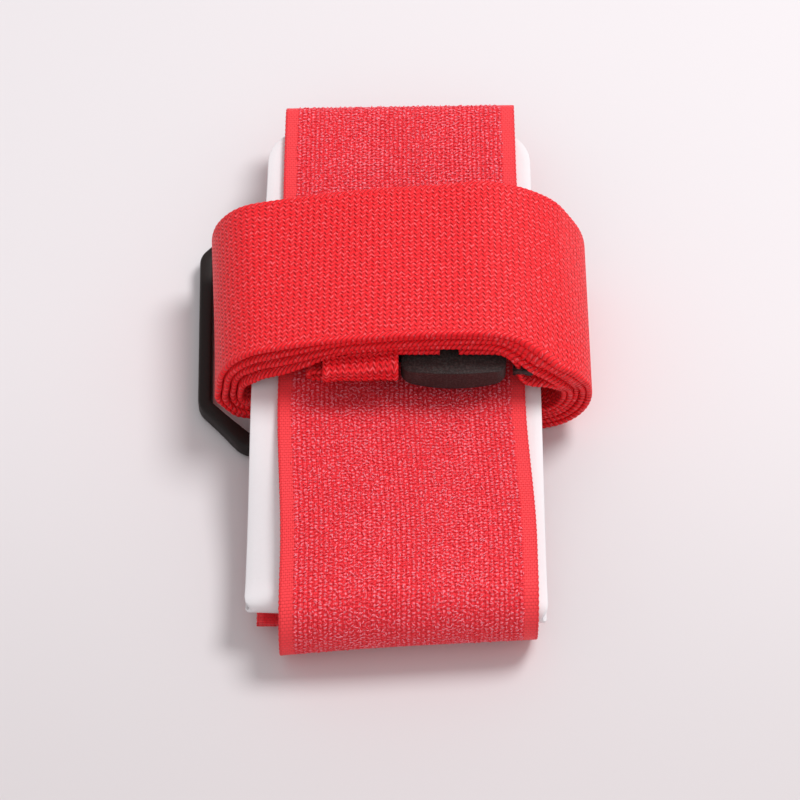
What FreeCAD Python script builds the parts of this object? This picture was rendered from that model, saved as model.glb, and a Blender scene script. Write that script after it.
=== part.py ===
import FreeCAD, Part
import math
import os

# Luggage strap, wound up for storage. Millimetres, +Z up, standing on z = 0.
# The webbing belt is wound round the middle of a hook-and-loop band that is folded round a card.
# The belt's length runs in the XZ plane and its width along Y; the band's length runs in the YZ
# plane and its width along X. The origin lies on the table under the middle of the whole bundle.

V = FreeCAD.Vector

# ---- webbing belt ----
belt_width = 38.5
belt_thick = 1.25
belt_pitch = 1.38            # one wound layer to the next
belt_mid_y = 9.75            # middle of the belt's width
turns = 4
outer_run = 47.7             # flat run on the table before the first turn
outer_run_x = -19.0          # where that run begins, under the ring's held bar
turned_back = 9.0            # the end that is turned back over the ring's bar and sewn down
back_bend_r, back_lift = 8.0, 15.0   # how the turned-back end eases down to the run under it
inner_bends = (13.2, 25.0)   # radius and angle where the last run leaves the turn below it
tail_bend_r = 4.0            # over the housing's end
tail_end_x = 12.8            # the tail stops here, on top of the buckle
tail_gap = 0.15              # between the buckle and the tails that lie on it
bottom_slope = 4.5           # later turns climb over the ring's bar at this angle, in degrees
# Outside radii of one turn, from the lower right corner round over the top to the lower left.
# Each pair is (radius, angle turned in degrees). None is worked out so that the turn closes.
turn_arcs = [(12.0, 90 + bottom_slope), (19.7, 45), (27.5, 45), (170.0, 15), (14.0, 75),
             (None, 70), (40.0, 20 - bottom_slope)]

# ---- ring ----
ring_bar_r = 1.1             # held bar, the belt's end turns round it
ring_clear = 0.08            # running clearance between that bar and the belt
ring_thick = 4.0
ring_left_x = -40.7
ring_free_bar = 3.0
ring_opening_y = 53.0
ring_end_y = 37.0            # straight length of the free bar, between the chamfers
ring_corner = 8.6            # how far the corner chamfers reach along X
ring_corner_out = 1.6        # the outer chamfer starts this much further out along Y
ring_side_bar = 4.2
ring_mid_y = 13.5            # the ring has slid this far along the belt's folded end

# ---- buckle ----
plane_z = 23.0               # middle plane of the buckle
housing_x = (-1.8, 24.7)     # mouth and outside of the end wall
housing_width = 42.0
housing_thick = 6.0
cavity_high = 3.8
cavity_end = 22.9
housing_end_r = 3.2          # rounds the end of the top, where the belt's tail bends over it
side_wall = 1.4
window_x = (0.9, 24.1)
window_deep = 8.4
bar_r = 1.1
housing_bar_x = 27.3
housing_bar_z = 22.2
plug_x = (-9.5, -3.8)
plug_width = 38.0
plug_thick = 3.6
plug_edge_r = 1.75
plug_bar_x = -12.9
plug_bar_z = 21.8
cheek = 2.0                  # the two arms that hold the plug's bar
cheek_top = 0.8              # they stand this far above the bar
cheek_reach = 3.0            # into the plug's base
cheek_root = 2.0             # where they widen to meet the base
slot_gap = 0.4               # between the belt's edges and the arms on either side
guide_width = 6.0
guide_thick = 3.0
guide_reach = 17.0
button_x = (1.4, 22.6)
button_half = 23.25          # button face from the middle of the belt
button_deep = 7.0
button_thick = (3.6, 5.2)    # at the ends and in the middle
button_bulge = 0.8           # the middle of the face stands out past its ends
button_top_fall = 0.9        # the top falls this far towards its ends
button_round = (2.4, 3.0)    # the rounded ends of the face, along X and along Y
button_inner_cut = 1.2
arm_root = (1.2, 1.4)        # the arm's root, inwards and outwards of the prong's root
arm_into = (0.6, 2.0)        # how far the arm's outer side reaches into the button
arm_tip = (1.6, 0.6)
arm_inner = (5.0, 1.6)
pivot_x = -3.8
pivot_half = 11.6            # prong roots from the middle of the belt
core_thick = 3.2
wrap_gap = 0.1               # between a bar and the webbing round it
housing_lug = 1.1            # height of the two arms that hold the housing's bar
mouth_lip = (3.2, 0.7)       # length and depth of the slope at the housing's mouth
root_gap = 0.5               # between a prong and the base that it bends from

# ---- plug's strap ----
strap_tail_x = 9.2
strap_level = 6.0
strap_ease_r, strap_fall = 40.0, 8.0   # how the tail slopes down towards the plug's slot
strap_dive_r = 3.0
strap_under = 3.4            # past the bar before the strap turns back
strap_sewn = 14.0
flap_x = (-14.4, 0.9)        # the part that hangs over the front end of the plug
flap_join_x = -7.8
flap_y = -13.35
flap_low_z = 22.6
flap_top_z = (24.7, 26.9)    # at its left and right ends

# ---- hook-and-loop band ----
band_width = 50.4
band_mid_x = 1.5
tape_thick = 1.0             # each of the two tapes
band_top_z = 17.1
near_fold_r = 7.55
far_fold_r = 4.0
near_fold_y = -58.95
band_cut_y = -58.5
band_cut_z = 3.2
band_overlap = 22.0
band_bend_r = 20.0
near_climb = 13.0            # degrees
far_drop = 9.0
band_in_coil_z = 12.3
climb_start = 2.0
coil_run = 44.5
far_fold_y = 62.5

# ---- card ----
card_width = 59.2
card_mid_x = 0.4
card_thick = 0.5
card_far_y = 60.5
card_near_y = -55.0
card_top_z = 14.85
card_low_z = 13.65
card_fold_r = 4.4
card_corner = 9.5
card_level_y = 33.0          # the low leaf starts to fall here, beyond the coil
card_far_drop = 8.0          # degrees

# ---- thread ----
thread_r = 0.3
stitch_step = 3.0
stitch_margin = 3.0          # from the belt's edge to the first stitch
stitch_proud = 0.12          # a thread stands this far above the webbing


def save(shape, name):
    shape.exportStep("parts/" + name + ".step")


def solve_turn():
    """Close one turn: the missing radius and the length of the bottom run."""
    heading = -bottom_slope
    sum_x = sum_z = 0.0
    missing = None
    for radius, angle in turn_arcs:
        a, b = math.radians(heading), math.radians(heading + angle)
        step = (math.sin(b) - math.sin(a), math.cos(a) - math.cos(b))
        if radius is None:
            missing = step
        else:
            sum_x += radius * step[0]
            sum_z += radius * step[1]
        heading += angle
    run = (math.cos(math.radians(bottom_slope)), -math.sin(math.radians(bottom_slope)))
    det = missing[0] * run[1] - missing[1] * run[0]
    radius = (-sum_x * run[1] + sum_z * run[0]) / det
    length = (-missing[0] * sum_z + missing[1] * sum_x) / det
    return radius, length


def trace(start, heading, steps, offset):
    """Edges of a path of lines and tangent arcs, moved to its left by offset, and its end state.
    A step is ("line", length) or ("arc", radius, angle): a positive angle turns left."""
    u, w = start
    h = math.radians(heading)
    edges = []
    for step in steps:
        side = (-math.sin(h) * offset, math.cos(h) * offset)
        p0 = V(u + side[0], 0, w + side[1])
        if step[0] == "line":
            u += step[1] * math.cos(h)
            w += step[1] * math.sin(h)
            p1 = V(u + side[0], 0, w + side[1])
            edges.append(Part.LineSegment(p0, p1).toShape())
            continue
        sign = 1 if step[2] > 0 else -1
        cu = u - sign * step[1] * math.sin(h)
        cw = w + sign * step[1] * math.cos(h)
        reach = step[1] - sign * offset
        turn = math.radians(step[2])
        mid, end = h + turn / 2, h + turn
        pm = V(cu + sign * reach * math.sin(mid), 0, cw - sign * reach * math.cos(mid))
        p1 = V(cu + sign * reach * math.sin(end), 0, cw - sign * reach * math.cos(end))
        edges.append(Part.Arc(p0, pm, p1).toShape())
        u = cu + sign * step[1] * math.sin(end)
        w = cw - sign * step[1] * math.cos(end)
        h = end
    return edges, (u, w, math.degrees(h))


def path_length(steps):
    return sum(s[1] if s[0] == "line" else s[1] * math.radians(abs(s[2])) for s in steps)


def ribbon(start, heading, steps, low, high, width):
    """A strip of even thickness: the path's section between the offsets low and high,
    carried along Y by width."""
    right, _ = trace(start, heading, steps, low)
    left, _ = trace(start, heading, steps, high)
    cap_end = Part.LineSegment(right[-1].Vertexes[-1].Point, left[-1].Vertexes[-1].Point)
    cap_start = Part.LineSegment(left[0].Vertexes[0].Point, right[0].Vertexes[0].Point)
    edges = right + [cap_end.toShape()] + left[::-1] + [cap_start.toShape()]
    wire = Part.Wire(Part.__sortEdges__(edges))
    return Part.Face(wire).extrude(V(0, width, 0))


def cylinder_y(x, z, radius, y0, y1):
    return Part.makeCylinder(radius, y1 - y0, V(x, y0, z), V(0, 1, 0))


def box(x0, x1, y0, y1, z0, z1):
    return Part.makeBox(x1 - x0, y1 - y0, z1 - z0, V(x0, y0, z0))


def prism(points, z0, z1):
    corners = [V(x, y, z0) for x, y in points]
    return Part.Face(Part.makePolygon(corners + corners[:1])).extrude(V(0, 0, z1 - z0))


def belt_path():
    """From the end turned back over the ring's bar, round the coil from the outside in,
    through the housing's slot to the tail that lies on top of the buckle."""
    radius, length = solve_turn()
    around_bar = ring_bar_r + ring_clear + belt_thick / 2
    half = belt_thick / 2
    climb = 2 * around_bar - belt_pitch
    lift = math.radians(back_lift)
    straight = (climb - 2 * back_bend_r * (1 - math.cos(lift))) / math.sin(lift)
    back = 2 * back_bend_r * math.sin(lift) + straight * math.cos(lift)
    steps = [("line", turned_back), ("arc", back_bend_r, -back_lift), ("line", straight),
             ("arc", back_bend_r, back_lift), ("arc", around_bar, 180), ("line", outer_run)]
    turned = 0.0
    for turn in range(turns):
        for index, (outside, angle) in enumerate(turn_arcs):
            if turn == 0 and index == 0:
                angle = 90.0
            outside = radius if outside is None else outside
            steps.append(("arc", outside - half - belt_pitch * turned / 360, angle))
            turned += angle
        steps.append(("line", length))
    inner = turn_arcs[0][0] - half - belt_pitch * turned / 360
    steps.append(("arc", inner, 90 + bottom_slope))
    start = (outer_run_x + back + turned_back, half + belt_pitch)
    _, (x, z, _) = trace(start, 180, steps, 0)
    wrap = bar_r + wrap_gap + half
    under_bar = housing_bar_z - wrap
    follow, follow_angle = inner_bends
    a = math.radians(follow_angle)
    entry = (under_bar - z - follow * math.sin(a)) / (1 - math.sin(a))
    steps.append(("arc", follow, follow_angle))
    steps.append(("arc", entry, 90 - follow_angle))
    reach = follow * (1 - math.cos(a)) + entry * math.cos(a)
    steps.append(("line", x - reach - housing_bar_x))
    steps.append(("arc", wrap, -90))
    tail_z = plane_z + housing_thick / 2 + tail_gap + half
    steps.append(("line", tail_z - tail_bend_r - housing_bar_z))
    steps.append(("arc", tail_bend_r, 90))
    steps.append(("line", housing_bar_x - wrap - tail_bend_r - tail_end_x))
    return start, 180, steps


def webbing_belt():
    start, heading, steps = belt_path()
    solid = ribbon(start, heading, steps, -belt_thick / 2, belt_thick / 2, belt_width)
    solid.translate(V(0, belt_mid_y - belt_width / 2, 0))
    return solid


def strap_path():
    """From the tail on top of the buckle, down through the plug's slot, under the bar and back
    under the buckle."""
    half = belt_thick / 2
    wrap = bar_r + wrap_gap + half
    tail_z = plane_z + housing_thick / 2 + tail_gap + half
    fall = math.radians(strap_fall)
    under = plug_bar_z - wrap
    turn = (under - (band_top_z + 0.1 + half)) / 2
    side = strap_ease_r * math.sin(fall) + strap_dive_r * (1 - math.sin(fall))
    run = (strap_tail_x - strap_level - side - (plug_bar_x + wrap)) / math.cos(fall)
    top = (tail_z - strap_ease_r * (1 - math.cos(fall)) - run * math.sin(fall)
           - strap_dive_r * math.cos(fall))
    steps = [("line", strap_level), ("arc", strap_ease_r, strap_fall), ("line", run),
             ("arc", strap_dive_r, 90 - strap_fall), ("line", top - plug_bar_z),
             ("arc", wrap, -90), ("line", strap_under), ("arc", turn, 180), ("line", strap_sewn)]
    return (strap_tail_x, tail_z), 180, steps


def plug_strap():
    """The short strap through the plug's slot, sewn to the band. Its front edge hangs over the
    front end of the plug."""
    half = belt_thick / 2
    front = belt_mid_y - belt_width / 2
    start, heading, steps = strap_path()
    solid = ribbon(start, heading, steps, -half, half, belt_width)
    solid.translate(V(0, front, 0))
    x0, x1 = flap_x
    over = ribbon(start, heading, steps[:3], -half, half, front - flap_y + 0.5)
    over.translate(V(0, flap_y, 0))
    over = over.common(box(flap_join_x, x1, flap_y - 1, front + 1, 0, start[1] + 2))
    hang = prism([(x0, flap_low_z), (x1, flap_low_z), (x1, flap_top_z[1]), (x0, flap_top_z[0])],
                 0, belt_thick)
    hang.rotate(V(0, 0, 0), V(1, 0, 0), 90)
    hang.translate(V(0, flap_y + belt_thick, 0))
    return solid.fuse(over).fuse(hang).removeSplitter()


def ring_loop():
    """A closed moulded ring: thin free bar on the left, chamfered corners, round held bar."""
    pin_x = outer_run_x
    pin_z = belt_thick + ring_clear + ring_bar_r
    z0 = pin_z - ring_thick / 2
    half = ring_opening_y / 2
    right = pin_x + ring_side_bar / 2
    outer, inner = [], []
    wide = half + ring_side_bar
    for points, left, out, end in ((outer, ring_left_x, wide, ring_end_y / 2 + ring_corner_out),
                                   (inner, ring_left_x + ring_free_bar, half, ring_end_y / 2)):
        points += [(left, -end), (left + ring_corner, -out), (right, -out),
                   (right, out), (left + ring_corner, out), (left, end)]
    body = prism(outer, z0, z0 + ring_thick)
    opening = prism([(x, y) for x, y in inner[:2]] + [(right + 1, -half), (right + 1, half)]
                    + [(x, y) for x, y in inner[4:]], z0 - 1, z0 + ring_thick + 1)
    body = body.cut(opening)
    body.translate(V(0, ring_mid_y, 0))
    bar = cylinder_y(pin_x, pin_z, ring_bar_r, ring_mid_y - half - 1, ring_mid_y + half + 1)
    return body.fuse(bar).removeSplitter()


def buckle_housing():
    y0, y1 = belt_mid_y - housing_width / 2, belt_mid_y + housing_width / 2
    z0, z1 = plane_z - housing_thick / 2, plane_z + housing_thick / 2
    body = box(housing_x[0], housing_x[1], y0, y1, z0, z1)
    lip, lip_deep = mouth_lip
    over = 0.1
    section = [V(housing_x[0], y0 - 1, z1 + over), V(housing_x[0] + lip, y0 - 1, z1 + over),
               V(housing_x[0] + lip, y0 - 1, z1), V(housing_x[0], y0 - 1, z1 - lip_deep)]
    wedge = Part.Face(Part.makePolygon(section + section[:1])).extrude(V(0, housing_width + 2, 0))
    body = body.cut(wedge)
    end_edge = [e for e in body.Edges if abs(e.tangentAt(e.FirstParameter).y) > 0.99
                and e.BoundBox.XMin > housing_x[1] - 0.1 and e.BoundBox.ZMin > z1 - 0.1]
    body = body.makeFillet(housing_end_r, end_edge)
    cavity = box(housing_x[0] - 1, cavity_end, y0 + side_wall, y1 - side_wall,
                 plane_z - cavity_high / 2, plane_z + cavity_high / 2)
    body = body.cut(cavity)
    for side in (-1, 1):
        face = belt_mid_y + side * housing_width / 2
        deep = face - side * window_deep
        body = body.cut(box(window_x[0], window_x[1], min(face + side, deep), max(face + side, deep),
                            z0 - 1, z1 + 1))
    low, high = housing_bar_z, housing_bar_z + housing_lug
    for side in (-1, 1):
        inner = belt_mid_y + side * (belt_width / 2 + slot_gap)
        outer = belt_mid_y + side * housing_width / 2
        beside = (min(inner, outer + side), max(inner, outer + side))
        body = body.cut(box(window_x[1], housing_x[1] + 1, *beside, z0 - 1, low))
        body = body.cut(box(window_x[1], housing_x[1] + 1, *beside, high, z1 + 1))
        body = body.fuse(box(window_x[1], housing_bar_x + bar_r, min(inner, outer),
                             max(inner, outer), low, high))
    bar = cylinder_y(housing_bar_x, housing_bar_z, bar_r, y0 + slot_gap, y1 - slot_gap)
    return body.fuse(bar).removeSplitter()


def buckle_plug():
    y0, y1 = belt_mid_y - plug_width / 2, belt_mid_y + plug_width / 2
    z0, z1 = plane_z - plug_thick / 2, plane_z + plug_thick / 2
    base = box(plug_x[0], plug_x[1], y0, y1, z0, z1)
    side_edges = [e for e in base.Edges if abs(e.tangentAt(e.FirstParameter).y) > 0.99]
    base = base.makeFillet(plug_edge_r, side_edges)
    low, high = plug_bar_z - bar_r, plug_bar_z + bar_r + cheek_top
    step = 0.2
    for side in (-1, 1):
        inner = belt_mid_y + side * (belt_width / 2 + slot_gap)
        outer = inner + side * cheek
        root = belt_mid_y + side * (plug_width / 2 - cheek_root)
        base = base.fuse(box(plug_bar_x - bar_r, plug_x[0] + cheek_reach, min(inner, outer),
                             max(inner, outer), low, high))
        base = base.fuse(box(plug_x[0] + step, plug_x[0] + cheek_reach, min(root, outer),
                             max(root, outer), low + step, high - step))
    bar = cylinder_y(plug_bar_x, plug_bar_z, bar_r, belt_mid_y - belt_width / 2 - 1,
                     belt_mid_y + belt_width / 2 + 1)
    guide = box(plug_x[1] - 1, plug_x[1] + guide_reach, belt_mid_y - guide_width / 2,
                belt_mid_y + guide_width / 2, plane_z - guide_thick / 2,
                plane_z + guide_thick / 2)
    return base.fuse(bar).fuse(guide).removeSplitter()


def prong(side):
    """A sprung arm with the press button on it; side is -1 at the front and 1 at the back."""
    x0, x1 = button_x
    face, inner = button_half, button_half - button_deep
    mid = (x0 + x1) / 2
    cut, (round_x, round_y) = button_inner_cut, button_round
    ends = face - button_bulge
    on_arc = 1 - math.sqrt(0.5)
    left = [V(x0 + cut, inner, 0), V(x0, inner + cut, 0), V(x0, ends - round_y, 0),
            V(x0 + on_arc * round_x, ends - on_arc * round_y, 0), V(x0 + round_x, ends, 0)]
    right = [V(x0 + x1 - p.x, p.y, 0) for p in left]
    edges = [Part.LineSegment(left[0], left[1]), Part.LineSegment(left[1], left[2]),
             Part.Arc(left[2], left[3], left[4]), Part.Arc(left[4], V(mid, face, 0), right[4]),
             Part.Arc(right[4], right[3], right[2]), Part.LineSegment(right[2], right[1]),
             Part.LineSegment(right[1], right[0]), Part.LineSegment(right[0], left[0])]
    wire = Part.Wire([e.toShape() for e in edges])
    pad = Part.Face(wire).extrude(V(0, 0, housing_thick))
    pad.translate(V(0, 0, plane_z - housing_thick / 2))
    thin, thick = button_thick
    low, high = plane_z - thick / 2, plane_z + thick / 2
    end_low, end_high = plane_z - thin / 2, high - button_top_fall
    a, b = x0 - 1, x1 + 1
    edges = [Part.Arc(V(a, 0, end_low), V(mid, 0, low), V(b, 0, end_low)),
             Part.LineSegment(V(b, 0, end_low), V(b, 0, end_high)),
             Part.Arc(V(b, 0, end_high), V(mid, 0, high), V(a, 0, end_high)),
             Part.LineSegment(V(a, 0, end_high), V(a, 0, end_low))]
    wire = Part.Wire([e.toShape() for e in edges])
    pad = pad.common(Part.Face(wire).extrude(V(0, face + 1, 0)))
    tip, side_y = x1 - arm_tip[0], inner + arm_into[1]
    core = prism([(pivot_x + root_gap, pivot_half - arm_root[0]),
                  (pivot_x + root_gap, pivot_half + arm_root[1]), (x0 + arm_into[0], side_y),
                  (tip, side_y), (tip, inner - arm_tip[1]),
                  (x0 + arm_inner[0], inner - arm_inner[1])],
                 plane_z - core_thick / 2, plane_z + core_thick / 2)
    arm = pad.fuse(core).removeSplitter()
    if side < 0:
        arm = arm.mirror(V(0, 0, 0), V(0, 1, 0))
    arm.translate(V(0, belt_mid_y, 0))
    return arm


def band_path():
    """From the inner cut end near the front, up through the coil, round the far fold, back over
    the top, round the near fold and under, where the end overlaps."""
    def ramp(angle, rise):
        a = math.radians(angle)
        return (rise - 2 * band_bend_r * (1 - math.cos(a))) / math.sin(a)
    climb = ramp(near_climb, band_in_coil_z - band_cut_z)
    mid_z = band_top_z - tape_thick
    fall = ramp(far_drop, band_in_coil_z - (mid_z - 2 * far_fold_r))
    steps = [("line", climb_start), ("arc", band_bend_r, near_climb), ("line", climb),
             ("arc", band_bend_r, -near_climb), ("line", coil_run), ("arc", band_bend_r, -far_drop),
             ("line", fall), ("arc", band_bend_r, far_drop)]
    _, (y, _, _) = trace((band_cut_y, band_cut_z), 0, steps, 0)
    steps.append(("line", far_fold_y - y))
    steps.append(("arc", far_fold_r, 180))
    steps.append(("line", far_fold_y - near_fold_y))
    steps.append(("arc", near_fold_r, 180))
    steps.append(("line", band_overlap))
    return (band_cut_y, band_cut_z), 0, steps


def along_y(solid, mid_x, width):
    """Turn a strip made along X and Z to run along Y, centred on mid_x."""
    solid.rotate(V(0, 0, 0), V(0, 0, 1), 90)
    solid.translate(V(mid_x + width / 2, 0, 0))
    return solid


def band_tape(low, high):
    start, heading, steps = band_path()
    return along_y(ribbon(start, heading, steps, low, high, band_width), band_mid_x, band_width)


def insert_card():
    """One card folded at the near end; both leaves reach to the far end."""
    climb = near_climb
    a = math.radians(climb)
    low_start_z = card_top_z - card_fold_r * (1 + math.cos(a))
    bend = band_bend_r - 1
    rise = (card_low_z - low_start_z - bend * (1 - math.cos(a))) / math.sin(a)
    steps = [("line", card_far_y - card_near_y), ("arc", card_fold_r, 180 + climb), ("line", rise),
             ("arc", bend, -climb)]
    _, (y, _, _) = trace((card_far_y, card_top_z), 180, steps, 0)
    steps.append(("line", card_level_y - y))
    steps.append(("arc", bend + 2, -card_far_drop))
    far_run = card_far_y - card_level_y - (bend + 2) * math.sin(math.radians(card_far_drop))
    steps.append(("line", far_run))
    card = along_y(ribbon((card_far_y, card_top_z), 180, steps, -card_thick / 2, card_thick / 2,
                          card_width), card_mid_x, card_width)
    half, r = card_width / 2, card_corner
    far = card_far_y
    x0, x1 = card_mid_x - half, card_mid_x + half
    for x, turn in ((x0, 1), (x1, -1)):
        corner = box(min(x, x + turn * r), max(x, x + turn * r), far - r, far + 5, 0, 40)
        round_part = Part.makeCylinder(r, 40, V(x + turn * r, far - r, 0))
        card = card.cut(corner.cut(round_part))
    return card


def stitch_rows(x_places, z0, z1):
    """Rows of upright threads through the layers between z0 and z1, across the belt's width."""
    solids = []
    count = int((belt_width - 2 * stitch_margin) / stitch_step)
    first = belt_mid_y - count * stitch_step / 2
    for x in x_places:
        for i in range(count + 1):
            solids.append(Part.makeCylinder(thread_r, z1 - z0, V(x, first + i * stitch_step, z0)))
    return Part.makeCompound(solids)


def main():
    os.makedirs("parts", exist_ok=True)
    save(webbing_belt(), "webbing_belt")
    save(plug_strap(), "plug_strap")
    save(ring_loop(), "ring_loop")
    save(buckle_housing(), "buckle_housing")
    save(buckle_plug(), "buckle_plug")
    save(prong(-1), "prong_front")
    save(prong(1), "prong_back")
    save(band_tape(-tape_thick, 0), "hook_tape")
    save(band_tape(0, tape_thick), "loop_tape")
    save(insert_card(), "insert_card")
    tail_low = plane_z + housing_thick / 2 + tail_gap
    tail_high = tail_low + belt_thick + stitch_proud
    fold_high = belt_pitch + belt_thick + stitch_proud
    seam_high = band_top_z + 0.1 + belt_thick + stitch_proud
    save(stitch_rows((-6.6, -4.4, -2.2), 0.02, fold_high), "ring_end_stitching")
    save(stitch_rows((14.2, 16.2, 18.2), tail_low, tail_high), "belt_tail_stitching")
    save(stitch_rows((4.2, 6.2, 8.2), tail_low, tail_high), "strap_tail_stitching")
    save(stitch_rows((-12.0, -9.5, -7.0), band_top_z - 2 * tape_thick, seam_high),
         "strap_seam_stitching")
    print("belt length", round(path_length(belt_path()[2]), 1))
    print("strap length", round(path_length(strap_path()[2]), 1))
    print("band length", round(path_length(band_path()[2]), 1))


main()
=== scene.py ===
import math
from collections import namedtuple
import bpy
import numpy as np
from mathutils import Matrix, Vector


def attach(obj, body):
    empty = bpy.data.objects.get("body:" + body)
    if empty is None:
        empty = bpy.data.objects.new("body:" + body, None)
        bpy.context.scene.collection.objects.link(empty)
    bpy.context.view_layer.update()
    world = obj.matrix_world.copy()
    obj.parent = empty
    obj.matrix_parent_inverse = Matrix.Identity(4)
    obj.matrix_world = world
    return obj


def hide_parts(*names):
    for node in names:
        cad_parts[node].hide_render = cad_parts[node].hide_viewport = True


# Luggage strap wound up for storage. Lengths are in millimetres in the CAD frame and are turned
# into metres by mesh_object(). The stage, the lights and the camera are placed in metres.

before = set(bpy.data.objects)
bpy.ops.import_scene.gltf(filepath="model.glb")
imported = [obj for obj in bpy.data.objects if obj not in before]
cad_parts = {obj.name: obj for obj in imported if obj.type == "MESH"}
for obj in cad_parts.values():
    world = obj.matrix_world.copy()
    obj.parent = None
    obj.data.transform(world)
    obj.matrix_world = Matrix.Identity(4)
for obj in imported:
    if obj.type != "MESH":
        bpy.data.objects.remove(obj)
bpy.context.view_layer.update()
MM = 0.001
rng = np.random.default_rng(7)

# ---- sizes shared with the CAD model ----
BELT_WIDTH, BELT_THICK, BELT_PITCH, BELT_MID_Y = 38.5, 1.25, 1.38, 9.75
TURNS, OUTER_RUN, OUTER_RUN_X, BOTTOM_SLOPE = 4, 47.7, -19.0, 4.5
TURN_ARCS = [(12.0, 90 + BOTTOM_SLOPE), (19.7, 45), (27.5, 45), (170.0, 15), (14.0, 75),
             (None, 70), (40.0, 20 - BOTTOM_SLOPE)]
RING_BAR_R, RING_CLEAR = 1.1, 0.08
BAND_WIDTH, BAND_MID_X, TAPE_THICK, BAND_TOP_Z = 50.4, 1.5, 1.0, 17.1
NEAR_FOLD_Y, NEAR_FOLD_R, FAR_FOLD_Y, FAR_FOLD_R = -58.95, 7.55, 62.5, 4.0
CARD_WIDTH, CARD_MID_X, CARD_THICK = 59.2, 0.4, 0.5
CARD_FAR_Y, CARD_NEAR_Y, CARD_FOLD_R, CARD_CORNER = 60.5, -55.0, 4.4, 9.5
RING_LEFT, RING_Y, RING_Z, RING_THICK = -40.7, 13.5, 2.43, 4.0
FLAP_X, STRAP_FALL = (-14.4, 0.9), 8.0

# ---- sizes of the drawn cloth ----
# The weave is a herringbone: columns PICK wide along the belt, with a dip every YARN that leans
# one way in even columns and, more faintly, the other way in odd ones.
PICK, YARN, SLANT, FAINT = 0.62, 1.05, 0.70, 0.55
EDGE_FULLNESS = 0.9  # width of a cloth's rounded edge, in half thicknesses
FLAT_EDGE = BELT_WIDTH / 2 - BELT_THICK * EDGE_FULLNESS / 2
BELT_SCALLOP, TAPE_SCALLOP = 0.16, 0.12
COARSE_STEP, PLAIN_STEP = 0.7, 0.34
GROUND = 0.5  # thickness of the hook tape's woven ground


# ------------------------------------------------------------------ paths
def solve_turn():
    """Close one turn: the missing radius and the length of the bottom run."""
    heading, sum_x, sum_z, missing = -BOTTOM_SLOPE, 0.0, 0.0, None
    for radius, angle in TURN_ARCS:
        a, b = math.radians(heading), math.radians(heading + angle)
        step = (math.sin(b) - math.sin(a), math.cos(a) - math.cos(b))
        if radius is None:
            missing = step
        else:
            sum_x += radius * step[0]
            sum_z += radius * step[1]
        heading += angle
    run = (math.cos(math.radians(BOTTOM_SLOPE)), -math.sin(math.radians(BOTTOM_SLOPE)))
    det = missing[0] * run[1] - missing[1] * run[0]
    return ((-sum_x * run[1] + sum_z * run[0]) / det,
            (-missing[0] * sum_z + missing[1] * sum_x) / det)


Part = namedtuple("Part", "start length u w heading curve")


class Path:
    """Lines and tangent arcs in a plane, sampled by length."""

    def __init__(self, start, heading, steps):
        self.parts, (u, w), h, s = [], start, math.radians(heading), 0.0
        for step in steps:
            if step[0] == "line":
                self.parts.append(Part(s, step[1], u, w, h, 0.0))
                u, w, s = u + step[1] * math.cos(h), w + step[1] * math.sin(h), s + step[1]
                continue
            turn = math.radians(step[2])
            curve = math.copysign(1 / step[1], turn)
            self.parts.append(Part(s, step[1] * abs(turn), u, w, h, curve))
            u += (math.sin(h + turn) - math.sin(h)) / curve
            w += (math.cos(h) - math.cos(h + turn)) / curve
            s, h = s + step[1] * abs(turn), h + turn
        self.length, self.end = s, (u, w)

    def at(self, s):
        """Points and left normals at the lengths s."""
        u, w, h = np.zeros_like(s), np.zeros_like(s), np.zeros_like(s)
        for index, part in enumerate(self.parts):
            here = s >= part.start - 1e-9 if index else np.ones_like(s, bool)
            d = s[here] - part.start
            if part.curve:
                h[here] = part.heading + d * part.curve
                u[here] = part.u + (np.sin(h[here]) - math.sin(part.heading)) / part.curve
                w[here] = part.w + (math.cos(part.heading) - np.cos(h[here])) / part.curve
            else:
                h[here] = part.heading
                u[here] = part.u + d * math.cos(part.heading)
                w[here] = part.w + d * math.sin(part.heading)
        return u, w, -np.sin(h), np.cos(h)


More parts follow.
